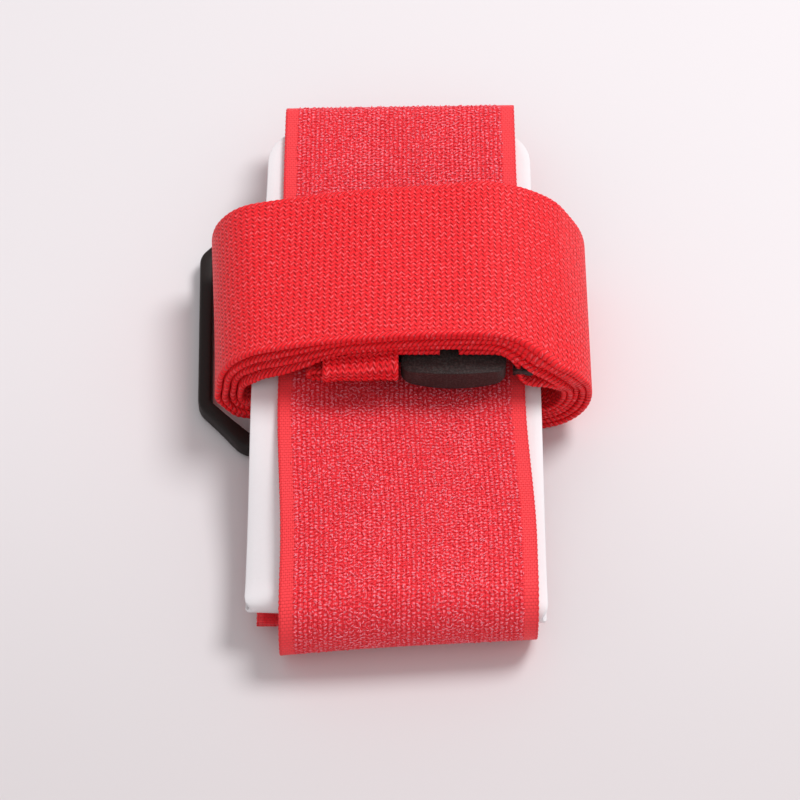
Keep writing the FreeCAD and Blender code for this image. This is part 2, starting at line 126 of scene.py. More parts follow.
def belt_path():
    """The belt from its end behind the ring to its tail, with the lengths at which the run on the
    table ends and the first turn is complete."""
    radius, length = solve_turn()
    around_bar, half = RING_BAR_R + RING_CLEAR + BELT_THICK / 2, BELT_THICK / 2
    climb, ease, lift = 2 * around_bar - BELT_PITCH, 8.0, 15.0
    sin, cos = math.sin(math.radians(lift)), math.cos(math.radians(lift))
    straight = (climb - 2 * ease * (1 - cos)) / sin
    back, turned_back = 2 * ease * sin + straight * cos, 9.0
    steps = [("line", turned_back), ("arc", ease, -lift), ("line", straight), ("arc", ease, lift),
             ("arc", around_bar, 180), ("line", OUTER_RUN)]
    turned, run_steps, first_turn_steps = 0.0, len(steps), None
    for turn in range(TURNS):
        for index, (outside, angle) in enumerate(TURN_ARCS):
            if turn == 0 and index == 0:
                angle = 90.0
            outside = radius if outside is None else outside
            steps.append(("arc", outside - half - BELT_PITCH * turned / 360, angle))
            turned += angle
        steps.append(("line", length))
        first_turn_steps = first_turn_steps or len(steps)
    steps.append(("arc", TURN_ARCS[0][0] - half - BELT_PITCH * turned / 360, 90 + BOTTOM_SLOPE))
    start = (OUTER_RUN_X + back + turned_back, half + BELT_PITCH)
    x, z = Path(start, 180, steps).end
    wrap, bar_x, bar_z, follow, follow_angle = 1.1 + 0.1 + half, 27.3, 22.2, 13.2, 25.0
    a = math.radians(follow_angle)
    entry = (bar_z - wrap - z - follow * math.sin(a)) / (1 - math.sin(a))
    reach = follow * (1 - math.cos(a)) + entry * math.cos(a)
    over, tail_z, tail_end = 4.0, 26.15 + half, 12.8
    steps += [("arc", follow, follow_angle), ("arc", entry, 90 - follow_angle),
              ("line", x - reach - bar_x), ("arc", wrap, -90), ("line", tail_z - over - bar_z),
              ("arc", over, 90), ("line", bar_x - wrap - over - tail_end)]
    path = Path(start, 180, steps)
    return path, path.parts[run_steps].start, path.parts[first_turn_steps].start


def strap_path():
    """The plug strap from its visible end, down through the plug and on to the band."""
    half = BELT_THICK / 2
    wrap, bar_x, bar_z, tail_start, tail_z = 1.2 + half, -12.9, 21.8, 9.2, 26.15 + half
    ease, dive, level, under, on_band = 40.0, 3.0, 6.0, 3.4, 14.0
    sin, cos = math.sin(math.radians(STRAP_FALL)), math.cos(math.radians(STRAP_FALL))
    side = ease * sin + dive * (1 - sin)
    run = (tail_start - level - side - (bar_x + wrap)) / cos
    top = tail_z - ease * (1 - cos) - run * sin - dive * cos
    turn = (bar_z - wrap - (BAND_TOP_Z + 0.1 + half)) / 2
    return Path((tail_start, tail_z), 180,
                [("line", level), ("arc", ease, STRAP_FALL), ("line", run),
                 ("arc", dive, 90 - STRAP_FALL), ("line", top - bar_z), ("arc", wrap, -90),
                 ("line", under), ("arc", turn, 180), ("line", on_band)])


def band_path():
    """The band from its lower cut end to its upper one, with its far and near folds."""
    bend, in_coil, cut, rise_angle, fall_angle = 20.0, 12.3, (-58.5, 3.2), 13.0, 9.0

    def ramp(angle, rise):
        a = math.radians(angle)
        return (rise - 2 * bend * (1 - math.cos(a))) / math.sin(a)
    mid_z = BAND_TOP_Z - TAPE_THICK
    steps = [("line", 2.0), ("arc", bend, rise_angle),
             ("line", ramp(rise_angle, in_coil - cut[1])), ("arc", bend, -rise_angle),
             ("line", 44.5), ("arc", bend, -fall_angle),
             ("line", ramp(fall_angle, in_coil - (mid_z - 2 * FAR_FOLD_R))),
             ("arc", bend, fall_angle)]
    steps += [("line", FAR_FOLD_Y - Path(cut, 0, steps).end[0]), ("arc", FAR_FOLD_R, 180),
              ("line", FAR_FOLD_Y - NEAR_FOLD_Y), ("arc", NEAR_FOLD_R, 180), ("line", 22.0)]
    path = Path(cut, 0, steps)
    return path, path.parts[-4], path.parts[-2]


# ------------------------------------------------------------------ mesh helpers
def mesh_object(name, points, faces, uv=None):
    """A smooth-shaded object: points in mm as (n, 3), faces as (m, 4), uv one pair a point."""
    mesh = bpy.data.meshes.new(name)
    faces = np.asarray(faces, np.int32)
    count, corners = faces.shape
    mesh.vertices.add(len(points))
    metres = (np.asarray(points, np.float64) * MM).astype(np.float32)
    mesh.vertices.foreach_set("co", metres.ravel())
    mesh.loops.add(count * corners)
    mesh.loops.foreach_set("vertex_index", faces.ravel())
    mesh.polygons.add(count)
    mesh.polygons.foreach_set("loop_start", np.arange(count, dtype=np.int32) * corners)
    mesh.update(calc_edges=True)
    mesh.polygons.foreach_set("use_smooth", np.full(count, True))
    if uv is not None:
        layer = mesh.uv_layers.new(name="run")
        layer.data.foreach_set("uv", np.asarray(uv, np.float32)[faces.ravel()].ravel())
    mesh.validate()
    obj = bpy.data.objects.new(name, mesh)
    bpy.context.scene.collection.objects.link(obj)
    return obj


def tube_faces(rows, ring):
    """Quads between rows of ring points each. Each end is closed by quads folded across it."""
    i, j = np.meshgrid(np.arange(rows - 1), np.arange(ring), indexing="ij")
    k = (j + 1) % ring
    quads = np.stack([i * ring + j, i * ring + k, (i + 1) * ring + k, (i + 1) * ring + j], -1)
    caps = []
    for base, flip in ((0, False), ((rows - 1) * ring, True)):
        for m in range(ring // 2 - 1):
            quad = [base + m, base + m + 1, base + ring - 2 - m, base + ring - 1 - m]
            caps.append(quad if flip else quad[::-1])
    return np.concatenate([quads.reshape(-1, 4), np.array(caps)])


def smooth(a, b, x):
    """0 at a and before, 1 at b and beyond; b may be the smaller."""
    t = np.clip((x - a) / (b - a), 0, 1)
    return t * t * (3 - 2 * t)


def wave(x, seeds):
    """A slow, even, seeded wander about zero."""
    return sum(np.sin(x / length + phase) for length, phase in seeds) / len(seeds)


def weave_height(u, v):
    """1 on the crown of a yarn and less in the dips, at u along the belt and v across it."""
    col = np.floor(u / PICK)
    t = u / PICK - col
    odd = np.mod(col, 2)
    c = v / YARN - SLANT * (t - 0.5) * (1 - 2 * odd)
    d = np.abs(c - np.floor(c) - 0.5) * 2
    along = np.abs(t - 0.5) * 2
    dip = smooth(0.45, 1.0, d) * (1 - 0.75 * smooth(0.5, 1.0, along)) * (1 - FAINT * odd)
    return 1 - 0.8 * dip - 0.35 * smooth(0.6, 1.0, along)


def ribbon(name, path, s, width, thick, mid, faces_across, warp, relief=0.0, low_across=None,
           edge=7, scallop=0.0, plane="XZ", wander=None, offset=0.0, turned=False):
    """A closed woven strip along path at the lengths s. Its first long face is on the right of
    the path and carries the relief. warp(points, lengths) moves the points at the end."""
    low_across = low_across or faces_across
    half_w, half_t = width / 2, thick / 2
    flat, round_w = half_w - half_t * EDGE_FULLNESS, EDGE_FULLNESS * half_t
    v_up = np.linspace(-flat, flat, faces_across)
    v_down = np.linspace(flat, -flat, low_across)
    turn = np.linspace(-math.pi / 2, math.pi / 2, edge + 2)[1:-1]
    section_v = np.concatenate([v_up, flat + round_w * np.cos(turn), v_down,
                                -flat - round_w * np.cos(turn)])
    section_n = np.concatenate([np.full(faces_across, -half_t), half_t * np.sin(turn),
                                np.full(low_across, half_t), -half_t * np.sin(turn)])
    on_up = np.concatenate([np.ones(faces_across), np.zeros(len(section_v) - faces_across)])
    on_edge = np.concatenate([np.zeros(faces_across), np.ones(edge), np.zeros(low_across),
                              np.ones(edge)])
    x, z, nx, nz = path.at(s)
    S, Vv = np.meshgrid(s, section_v, indexing="ij")
    N = np.broadcast_to(section_n + offset, S.shape).copy()
    if relief:
        h = weave_height(Vv, S) if turned else weave_height(S, Vv)
        fade = smooth(0, 1.5, flat - np.abs(Vv) + 0.3)
        N += on_up * relief * (1 - h) * fade
    if scallop:
        phase = np.where(Vv > 0, 0.0, math.pi)
        bump = np.abs(np.sin(math.pi * S / (2 * PICK) + phase / 2))
        grow = on_edge * (bump - 0.6) * scallop
        Vv = Vv + np.sign(Vv) * grow
        N = offset + (N - offset) * (1 + 0.10 * on_edge * (bump - 0.6))
    shift = 0.0 if wander is None else wander(s)[:, None]
    a = x[:, None] + nx[:, None] * N
    w = z[:, None] + nz[:, None] * N
    across = mid + Vv + shift
    if plane == "XZ":
        P = np.stack([a, across, w], -1)
    else:
        P = np.stack([across, a, w], -1)
    P = warp(P, S) if warp is not None else P
    rows, ring = S.shape
    run = [S, np.broadcast_to(section_v, S.shape)]
    uv = np.stack(run[::-1] if turned else run, -1).reshape(-1, 2)
    obj = mesh_object(name, P.reshape(-1, 3), tube_faces(rows, ring), uv)
    if plane != "XZ":
        obj.data.flip_normals()
    return obj


# ------------------------------------------------------------------ materials
class Nodes:
    """A short way to write a material's arithmetic."""

    def __init__(self, name):
        self.mat = bpy.data.materials.new(name)
        self.mat.use_nodes = True
        self.tree = self.mat.node_tree
        self.bsdf = self.tree.nodes["Principled BSDF"]

    def put(self, socket, value):
        if isinstance(value, bpy.types.NodeSocket):
            self.tree.links.new(value, socket)
        else:
            socket.default_value = value

    def math(self, op, a, b=0.0):
        node = self.tree.nodes.new("ShaderNodeMath")
        node.operation = op
        self.put(node.inputs[0], a)
        self.put(node.inputs[1], b)
        return node.outputs[0]

    def add(self, a, b):
        return self.math("ADD", a, b)

    def sub(self, a, b):
        return self.math("SUBTRACT", a, b)

    def mul(self, a, b):
        return self.math("MULTIPLY", a, b)

    def div(self, a, b):
        return self.math("DIVIDE", a, b)

    def size(self, a):
        return self.math("ABSOLUTE", a)

    def off_middle(self, value):
        """How far value is from the middle of its whole-number cell, 0 to 0.5."""
        return self.size(self.sub(self.math("FRACT", value), 0.5))

    def ramp(self, value, low, high):
        """0 at low and 1 at high, eased; high may be the smaller."""
        node = self.tree.nodes.new("ShaderNodeMapRange")
        node.interpolation_type = "SMOOTHSTEP"
        for socket, v in zip(node.inputs, (value, low, high, 0.0, 1.0)):
            self.put(socket, v)
        return node.outputs[0]

    def noise(self, vector, scale, detail=2.0, rough=0.5):
        node = self.tree.nodes.new("ShaderNodeTexNoise")
        node.inputs["Scale"].default_value = scale
        node.inputs["Detail"].default_value = detail
        node.inputs["Roughness"].default_value = rough
        self.put(node.inputs["Vector"], vector)
        return node.outputs["Fac"]

    def scaled(self, vector, scale):
        node = self.tree.nodes.new("ShaderNodeVectorMath")
        node.operation = "MULTIPLY"
        self.put(node.inputs[0], vector)
        self.put(node.inputs[1], scale)
        return node.outputs[0]

    def mix(self, fac, a, b):
        node = self.tree.nodes.new("ShaderNodeMix")
        node.data_type = "RGBA"
        self.put(node.inputs[0], fac)
        self.put(node.inputs[6], a)
        self.put(node.inputs[7], b)
        return node.outputs[2]

    def bump(self, height, distance_mm, normal=None):
        node = self.tree.nodes.new("ShaderNodeBump")
        node.inputs["Strength"].default_value = 1.0
        node.inputs["Distance"].default_value = distance_mm * MM
        self.put(node.inputs["Height"], height)
        if normal is not None:
            self.put(node.inputs["Normal"], normal)
        return node.outputs["Normal"]

    def place(self):
        """The point in the object's own space, in metres."""
        return self.tree.nodes.new("ShaderNodeTexCoord").outputs["Object"]

    def run(self):
        """The cloth's own flat coordinates in mm: both as a vector, then each alone."""
        node = self.tree.nodes.new("ShaderNodeUVMap")
        node.uv_map = "run"
        split = self.tree.nodes.new("ShaderNodeSeparateXYZ")
        self.put(split.inputs[0], node.outputs[0])
        return node.outputs[0], split.outputs[0], split.outputs[1]

    def finish(self, color, roughness, specular, sheen=0.0, sheen_tint=(1, 1, 1, 1), normal=None):
        self.put(self.bsdf.inputs["Base Color"], color)
        self.put(self.bsdf.inputs["Roughness"], roughness)
        self.bsdf.inputs["Specular IOR Level"].default_value = specular
        self.bsdf.inputs["Sheen Weight"].default_value = sheen
        self.bsdf.inputs["Sheen Roughness"].default_value = 0.45
        self.bsdf.inputs["Sheen Tint"].default_value = sheen_tint
        if normal is not None:
            self.put(self.bsdf.inputs["Normal"], normal)
        return self.mat


def webbing_material(name, bump_mm):
    """Herringbone webbing with painted shade in the dips between the yarns, painted glints on the
    yarn crowns and a cord-like selvage.
    """
    n = Nodes(name)
    uv, u, v = n.run()
    place = n.place()
    columns = n.div(u, PICK)
    column = n.math("FLOOR", columns)
    t = n.sub(columns, column)
    odd = n.math("FLOORED_MODULO", column, 2.0)
    lean = n.sub(n.mul(odd, 2.0 * SLANT), SLANT)
    jitter = n.mul(n.sub(n.noise(uv, 0.8), 0.5), 0.9)
    yarn = n.add(n.add(n.div(v, YARN), jitter), n.mul(n.sub(t, 0.5), lean))
    gap = n.mul(n.off_middle(yarn), 2.0)
    along = n.mul(n.size(n.sub(t, 0.5)), 2.0)
    groove = n.ramp(along, 0.62, 1.0)
    dash = n.mul(n.ramp(gap, 0.42, 0.88), n.sub(1.0, n.mul(n.ramp(along, 0.55, 1.0), 0.7)))
    dash = n.mul(dash, n.sub(1.0, n.mul(odd, FAINT)))
    edge = n.ramp(n.size(v), FLAT_EDGE - 1.0, FLAT_EDGE - 0.4)
    # cord-like selvage: short ribs slanting round the edge, with painted shade between them
    rib = n.off_middle(n.add(n.div(u, 1.7 * PICK), n.mul(v, 1.1)))
    rib = n.ramp(n.mul(rib, 2.0), 0.5, 1.0)
    # painted shade: dips between yarns, grooves between columns and gaps between selvage ribs are
    # darkened in colour as well as in height
    dark = n.math("MAXIMUM", dash, n.mul(groove, 0.22))
    dark = n.add(n.mul(dark, n.sub(1.0, edge)), n.mul(n.mul(rib, edge), 0.7))
    fibre = n.noise(n.scaled(uv, (9.0, 2.0, 1.0)), 1.6, 3.0, 0.6)
    patch = n.noise(place, 60.0)
    red, deeper_red = (1.0, 0.006, 0.015, 1), (0.94, 0.004, 0.010, 1)
    lit_red, dip_shade_red = (1.0, 0.020, 0.032, 1), (0.34, 0.0, 0.001, 1)
    painted_glint_pink = (1.0, 0.17, 0.20, 1)
    base = n.mix(patch, red, deeper_red)
    lit = n.mix(n.ramp(fibre, 0.4, 0.75), base, lit_red)
    # painted highlight: pale glints on the crowns of the yarns
    speck = n.mul(n.ramp(n.noise(uv, 1.3), 0.46, 0.62), n.ramp(gap, 0.45, 0.10))
    lit = n.mix(n.mul(speck, 0.7), lit, painted_glint_pink)
    # painted shade pulls the dips towards a deep red
    color = n.mix(n.mul(dark, 0.84), lit, dip_shade_red)
    height = n.add(n.sub(1.0, dark), n.mul(fibre, 0.3))
    return n.finish(color, 0.5, 0.3, 0.04, (1.0, 0.3, 0.33, 1), n.bump(height, bump_mm))


def tape_material(name, selvage, dip_shade_strength, speckle):
    """Woven ground of a hook-and-loop tape with plain ribbed selvages, painted highlights on the
    loop crowns and painted shade in the gaps and dips.
    """
    half, rib_step, rib_cell, cell_along, cell_across = BAND_WIDTH / 2, 0.62, 0.8, 0.88, 0.95
    n = Nodes(name)
    uv, u, v = n.run()
    place = n.place()
    rib = n.off_middle(n.div(u, rib_step))
    col = n.off_middle(n.add(n.div(v, rib_cell), n.mul(n.math("FLOOR", n.div(u, rib_step)), 0.5)))
    ground = n.mul(n.add(n.ramp(rib, 0.25, 0.5), n.ramp(col, 0.3, 0.5)), 0.5)
    edge = n.ramp(n.size(v), half - selvage - 0.4, half - selvage + 0.2)
    rim = n.ramp(n.size(v), half - 0.7, half - 0.3)
    fuzz = n.noise(n.scaled(uv, (3.0, 3.0, 1.0)), 1.3, 3.0, 0.65)
    patch = n.noise(place, 45.0)
    inner = n.mix(patch, (0.86, 0.014, 0.026, 1), (0.97, 0.024, 0.040, 1))
    outer = n.mix(patch, (1.0, 0.040, 0.052, 1), (1.0, 0.062, 0.074, 1))
    # rows of small loops: a painted highlight on the crown in the middle of each cell and painted
    # shade in the gap between cells
    cell_v = n.add(n.div(v, cell_across), n.noise(n.scaled(uv, (1.0, 1.3, 1.0)), 0.7))
    shift = n.mul(n.math("FLOORED_MODULO", n.math("FLOOR", cell_v), 2.0), 0.5)
    wobble = n.mul(n.noise(uv, 1.2, 1.0), 0.8)
    cell_u = n.add(n.add(n.div(u, cell_along), shift), wobble)
    a = n.sub(n.math("FRACT", cell_u), 0.5)
    b = n.sub(n.math("FRACT", cell_v), 0.5)
    off = n.math("SQRT", n.add(n.mul(a, a), n.mul(b, b)))
    crown = n.mul(n.ramp(off, 0.42, 0.12), n.ramp(n.noise(uv, 1.9, 1.0), 0.35, 0.6))
    crown_highlight_pink, gap_shade_red = (1.0, 0.30, 0.37, 1), (0.42, 0.002, 0.006, 1)
    dip_shade_red, rim_red = (0.45, 0.002, 0.006, 1), (0.60, 0.005, 0.012, 1)
    inner = n.mix(n.mul(crown, speckle), inner, crown_highlight_pink)
    inner = n.mix(n.mul(n.ramp(off, 0.44, 0.66), 0.7 * speckle), inner, gap_shade_red)
    color = n.mix(edge, inner, outer)
    # painted shade in the dips of the woven ground
    color = n.mix(n.mul(ground, dip_shade_strength), color, dip_shade_red)
    color = n.mix(n.mul(rim, 0.35), color, rim_red)
    height = n.add(n.sub(1.0, ground), n.mul(fuzz, 0.4))
    return n.finish(color, 0.55, 0.3, 0.08, (1.0, 0.4, 0.45, 1), n.bump(height, 0.12))


def hook_material():
    n = Nodes("hook_filament")
    place = n.place()
    red, pink = (0.98, 0.050, 0.080, 1), (1.0, 0.260, 0.330, 1)
    color = n.mix(n.ramp(n.noise(place, 1500.0, 1.0), 0.44, 0.58), red, pink)
    return n.finish(color, 0.35, 0.5)


def card_material():
    n = Nodes("white_card_stock")
    place = n.place()
    fibre = n.noise(place, 900.0, 4.0, 0.6)
    cloud = n.noise(place, 40.0)
    color = n.mix(cloud, (0.80, 0.775, 0.79, 1), (0.85, 0.825, 0.84, 1))
    color = n.mix(n.mul(n.ramp(fibre, 0.45, 0.8), 0.10), color, (0.70, 0.67, 0.69, 1))
    return n.finish(color, 0.55, 0.4, normal=n.bump(fibre, 0.03))


def plastic_material(name, base, worn, roughness, grain_mm, speckle, specular):
    """Moulded plastic with a fine spark-eroded grain and slightly polished edges."""
    n = Nodes(name)
    place = n.place()
    grain = n.noise(place, 3400.0, 2.0, 0.6)
    coarse = n.noise(place, 2600.0, 2.0, 0.5)
    bevel = n.tree.nodes.new("ShaderNodeBevel")
    bevel.samples = 4
    bevel.inputs["Radius"].default_value = 0.35 * MM
    geo = n.tree.nodes.new("ShaderNodeNewGeometry")
    point = n.ramp(geo.outputs["Pointiness"], 0.52, 0.62)
    color = n.mix(n.mul(point, 0.35), base, worn)
    color = n.mix(n.mul(n.ramp(coarse, 0.4, 0.7), speckle), color, worn)
    rough = n.add(roughness, n.mul(n.sub(coarse, 0.5), 0.12))
    height = n.add(grain, n.mul(coarse, 0.6))
    normal = n.bump(height, grain_mm, bevel.outputs[0])
    return n.finish(color, rough, specular, normal=normal)


def thread_material():
    n = Nodes("red_thread")
    place = n.place()
    twist = n.tree.nodes.new("ShaderNodeTexWave")
    twist.inputs["Scale"].default_value = 900.0
    twist.inputs["Distortion"].default_value = 1.0
    twist.bands_direction = "DIAGONAL"
    n.put(twist.inputs["Vector"], place)
    ply = twist.outputs["Fac"]
    color = n.mix(ply, (0.55, 0.010, 0.020, 1), (0.82, 0.035, 0.050, 1))
    return n.finish(color, 0.5, 0.4, 0.1, (1, 0.5, 0.5, 1), n.bump(ply, 0.05))


def floor_material():
    """A pale floor with painted shade that darkens it gently towards the front."""
    n = Nodes("pale_floor")
    place = n.place()
    cloud = n.noise(place, 3.0)
    color = n.mix(cloud, (0.78, 0.748, 0.762, 1), (0.795, 0.763, 0.777, 1))
    split = n.tree.nodes.new("ShaderNodeSeparateXYZ")
    n.put(split.inputs[0], place)
    # painted shade: the floor darkens towards the front
    near = n.ramp(split.outputs[1], 0.03, -0.11)
    color = n.mix(n.mul(near, 0.5), color, (0.59, 0.545, 0.548, 1))
    return n.finish(color, 0.75, 0.2)


def give(obj, mat):
    obj.data.materials.clear()
    obj.data.materials.append(mat)


# ------------------------------------------------------------------ webbing belt
belt, run_end, first_turn = belt_path()
CALM_TAIL = 60.0  # length at the belt's inner end that doesn't wander

# How far the drawn coil leaves a coil that is wound straight.
FAR_LEAN, FAR_RISE, TOP_RISE, CORNER_DROP = 1.3, 1.3, 0.35, 3.4
END_DROP, END_OUT, INNER_SAG = 2.3, 1.9, 5.0


def belt_warp(P, S):
    """The far edge of the coil leans out to the left and stands a little higher at the right. The
    near edge hangs over the end of the buckle. The lower left corner is low, and the near edges
    of the inner turns sag left of the buckle."""
    x, y, z = P[..., 0], P[..., 1], P[..., 2]
    side = (y - BELT_MID_Y) / (BELT_WIDTH / 2)
    back = np.clip((side + 1) / 2, 0, 1)
    front = np.clip(-side, 0, 1) ** 2
    left = smooth(-20.0, -34.0, x) * smooth(11.0, 16.0, z)
    right = smooth(6.0, 20.0, x) * smooth(40.0, 34.0, x) * smooth(21.0, 28.0, z)
    low_left = smooth(-21.6, -31.0, x) * smooth(22.0, 8.0, z)
    low_left = low_left * (1 - 0.5 * smooth(-32.5, -36.0, x))
    over_end = front * smooth(20.0, 29.0, x) * smooth(46.0, 32.0, x) * smooth(11.0, 21.0, z)
    over_end = over_end * smooth(34.0, 26.0, z)
    inner = np.clip((S - first_turn) / (belt.length - CALM_TAIL - first_turn), 0, 1)
    sag = inner * front * smooth(-8.0, -24.0, x) * smooth(-37.0, -29.0, x) * smooth(12.0, 22.0, z)
    Q = P.copy()
    Q[..., 0] = x - FAR_LEAN * side * left
    Q[..., 1] = y - END_OUT * over_end
    Q[..., 2] = (z + back * (FAR_RISE * right + TOP_RISE * smooth(22.0, 28.0, z))
                 - CORNER_DROP * low_left - END_DROP * over_end - INNER_SAG * sag)
    return Q


# length and phase of each slow wave, and how far it moves the belt sideways
SLOW_WAVES, QUICK_WAVES = [(17.0, 0.4), (41.0, 2.0)], [(23.0, 1.0), (11.0, 4.0)]
SLOW_SWAY, QUICK_SWAY = 0.25, 0.45


def outer_wander(s):
    return SLOW_SWAY * wave(s, SLOW_WAVES)


def inner_wander(s):
    calm = smooth(belt.length - CALM_TAIL, belt.length - CALM_TAIL - 40.0, s)
    grow = smooth(first_turn, first_turn + 40.0, s)
    return calm * (SLOW_SWAY * wave(s, SLOW_WAVES) + grow * QUICK_SWAY * wave(s, QUICK_WAVES))


# The weave's relief is meshed only where the outermost turn can be seen.
fine = np.arange((math.floor((run_end - 6.0) / PICK) + 0.25) * PICK, first_turn - 40.0, PICK / 2)
before = np.arange(0.0, fine[0] - 0.4, COARSE_STEP)
after = np.arange(fine[-1] + 0.6, first_turn + 0.35, COARSE_STEP)
s_outer = np.concatenate([before, fine, after])
across_fine = int(2 * FLAT_EDGE / (YARN / 3.5)) + 1
webbing_outer = ribbon("webbing_belt_outer", belt, s_outer, BELT_WIDTH, BELT_THICK, BELT_MID_Y,
                       across_fine, belt_warp, relief=0.13, low_across=8, scallop=BELT_SCALLOP,
                       wander=outer_wander)
s_inner = np.arange(s_outer[-1] + 0.02, belt.length, PLAIN_STEP)
webbing_inner = ribbon("webbing_belt_inner", belt, s_inner, BELT_WIDTH, BELT_THICK, BELT_MID_Y,
                       7, belt_warp, scallop=BELT_SCALLOP, wander=inner_wander)
belt_mat = webbing_material("belt_webbing_outer", 0.16)
inner_mat = webbing_material("belt_webbing", 0.22)
give(webbing_outer, belt_mat)
give(webbing_inner, inner_mat)
strap = strap_path()
s_strap = np.arange(0.0, strap.length, PLAIN_STEP)
strap_piece = ribbon("plug_strap_webbing", strap, s_strap, BELT_WIDTH, BELT_THICK, BELT_MID_Y,
                     9, None, scallop=BELT_SCALLOP)
give(strap_piece, inner_mat)
STRAP_SLOPE = math.tan(math.radians(STRAP_FALL))


def flap_warp(P, S):
    """The flap follows the slope of the strap that it belongs to, and its free edge is uneven."""
    x, y, z = P[..., 0], P[..., 1], P[..., 2]
    Q = P.copy()
    hang = smooth(2.5, 5.5, S)
    slope = STRAP_SLOPE * (x - FLAP_X[1]) * (1 - 0.75 * hang)
    Q[..., 2] = z + slope + 0.15 * hang * np.sin(x * 0.6)
    Q[..., 1] = y - 0.12 * hang * (1 + np.sin(x * 0.8 + 1.0))
    return Q


flap_line = Path((-8.9, 26.68), 180, [("line", 2.6), ("arc", 1.25, 82.0), ("line", 2.35)])
strap_flap = ribbon("plug_strap_flap", flap_line, np.arange(0.0, flap_line.length, 0.25),
                    FLAP_X[1] - FLAP_X[0], BELT_THICK - 0.05, sum(FLAP_X) / 2, 100, flap_warp,
                    relief=0.12, low_across=12, edge=5, plane="YZ", turned=True)
give(strap_flap, inner_mat)

# ------------------------------------------------------------------ hook-and-loop band
band, far_fold, near_fold = band_path()


def band_warp(P, S):
    """The band as it lies: its layers are not quite in line and its folds are not quite square."""
    x, y, z = P[..., 0], P[..., 1], P[..., 2]
    side = (x - BAND_MID_X) / (BAND_WIDTH / 2)
    Q = P.copy()
    upper = smooth(far_fold.start, far_fold.start + far_fold.length, S)
    # the lower layer lies further left at its cut end
    lower = 1 - smooth(8.0, 44.0, S)
    near_top = smooth(-12.0, -50.0, y) * upper
    Q[..., 0] = x - 3.4 * lower + 1.4 * near_top - 0.3 * upper * smooth(20.0, 50.0, y)
    # both folds are skewed, and the left end of the near one is further out
    near = smooth(-14.0, -58.0, y) * smooth(10.0, 60.0, S)
    far = smooth(30.0, 62.0, y)
    Q[..., 1] = y + (1.6 * side + 2.0) * near + (0.5 * side + 0.9) * far
    # a shallow crown across the top that is gone at the bottom of the fold, and a low left end
    bottom = near_fold.start + near_fold.length
    crown = near * upper * (1 - smooth(near_fold.start + 0.5 * near_fold.length, bottom, S))
    Q[..., 2] = z - 0.9 * crown * np.maximum(0, -side) ** 2 - 0.35 * crown * side ** 2
    return Q


s_band = np.arange(0.0, band.length + 0.3, 0.62)
s_band[-1] = band.length
hook_ground = ribbon("hook_tape_woven", band, s_band, BAND_WIDTH, GROUND, BAND_MID_X, 110,
                     band_warp, low_across=8, plane="YZ", edge=3, scallop=TAPE_SCALLOP,
                     offset=-GROUND / 2 - 0.05)
loop_ground = ribbon("loop_tape_woven", band, s_band, BAND_WIDTH, TAPE_THICK - 0.1, BAND_MID_X,
                     24, band_warp, plane="YZ", edge=3, scallop=TAPE_SCALLOP,
                     offset=TAPE_THICK / 2)
# the last two numbers set the painted dip shade and the painted crown highlights and gap shade
give(hook_ground, tape_material("hook_tape_ground", 2.8, 0.45, 0.9))
give(loop_ground, tape_material("loop_tape_pile", 1.2, 0.3, 0.0))


def hook_field(name):
    """Small bent filaments standing on the tape where it can be seen."""
    row_step, col_step, selvage, stem_r, tip_r = 0.90, 1.0, 2.9, 0.105, 0.07
    line = [(0.0, -0.10), (0.05, 0.36), (0.28, 0.52), (0.54, 0.42), (0.62, 0.24)]  # out, up
    rows = np.arange(far_fold.start + 0.80 * far_fold.length,
                     near_fold.start + 0.60 * near_fold.length, row_step)
    side = BAND_WIDTH / 2 - selvage
    cols = np.arange(-side, side, col_step)
    S, Vv = np.meshgrid(rows, cols, indexing="ij")
    odd = (np.arange(len(rows)) % 2)[:, None]
    Vv = Vv + odd * (col_step / 2)
    flip = np.where(odd == 0, 1.0, -1.0) * np.ones_like(S)
    S, Vv, flip = S.ravel(), Vv.ravel(), flip.ravel()
    S = S + rng.normal(0, 0.10, S.shape)
    Vv = Vv + rng.normal(0, 0.11, S.shape)
    y, z, ny, nz = band.at(S)
    seen = (y < -8.0) | (y > 27.5)  # clear of the coil
    seen &= rng.random(S.shape) > 0.02  # a few are missing
    S, Vv, flip, y, z, ny, nz = (a[seen] for a in (S, Vv, flip, y, z, ny, nz))
    up = np.stack([np.zeros_like(ny), -ny, -nz], -1)
    along = np.stack([np.zeros_like(ny), nz, -ny], -1)
    across = np.stack([np.ones_like(ny), np.zeros_like(ny), np.zeros_like(ny)], -1)
    base = np.stack([BAND_MID_X + Vv, y, z], -1) + up * (GROUND + 0.02)
    spin = rng.normal(0, 0.8, S.shape) + math.pi / 2
    a = (np.cos(spin) * flip)[:, None] * along + (np.sin(spin) * flip)[:, None] * across
    c = np.cross(up, a)
    lean = rng.normal(0, 0.12, S.shape)[:, None]
    ends = smooth(near_fold.start + 2.0, near_fold.start + 9.0, S)
    ends = ends + smooth(rows[0] + 6.0, rows[0], S)
    tall = (rng.normal(0.85, 0.09, S.shape) * (1 - 0.5 * ends))[:, None]
    rings = []
    for k, (t, h) in enumerate(line):
        t0, h0 = line[max(k - 1, 0)]
        t1, h1 = line[min(k + 1, len(line) - 1)]
        size = math.hypot(t1 - t0, h1 - h0)
        dt, dh = (t1 - t0) / size, (h1 - h0) / size
        centre = base + a * t + up * h * tall + c * lean * h
        cross = a * dh - up * dt
        r = stem_r if k < len(line) - 1 else tip_r
        rings.append(np.stack([centre + c * r, centre + cross * r,
                               centre - c * r, centre - cross * r], 1))
    P = np.stack(rings, 1)
    count, per = len(S), len(line) * 4
    P = band_warp(P.reshape(count, per, 3), np.broadcast_to(S[:, None], (count, per)))
    faces = tube_faces(len(line), 4)[None] + (np.arange(count) * per)[:, None, None]
    return mesh_object(name, P.reshape(-1, 3), faces.reshape(-1, 4))


hooks = hook_field("hook_tape_hooks")
give(hooks, hook_material())

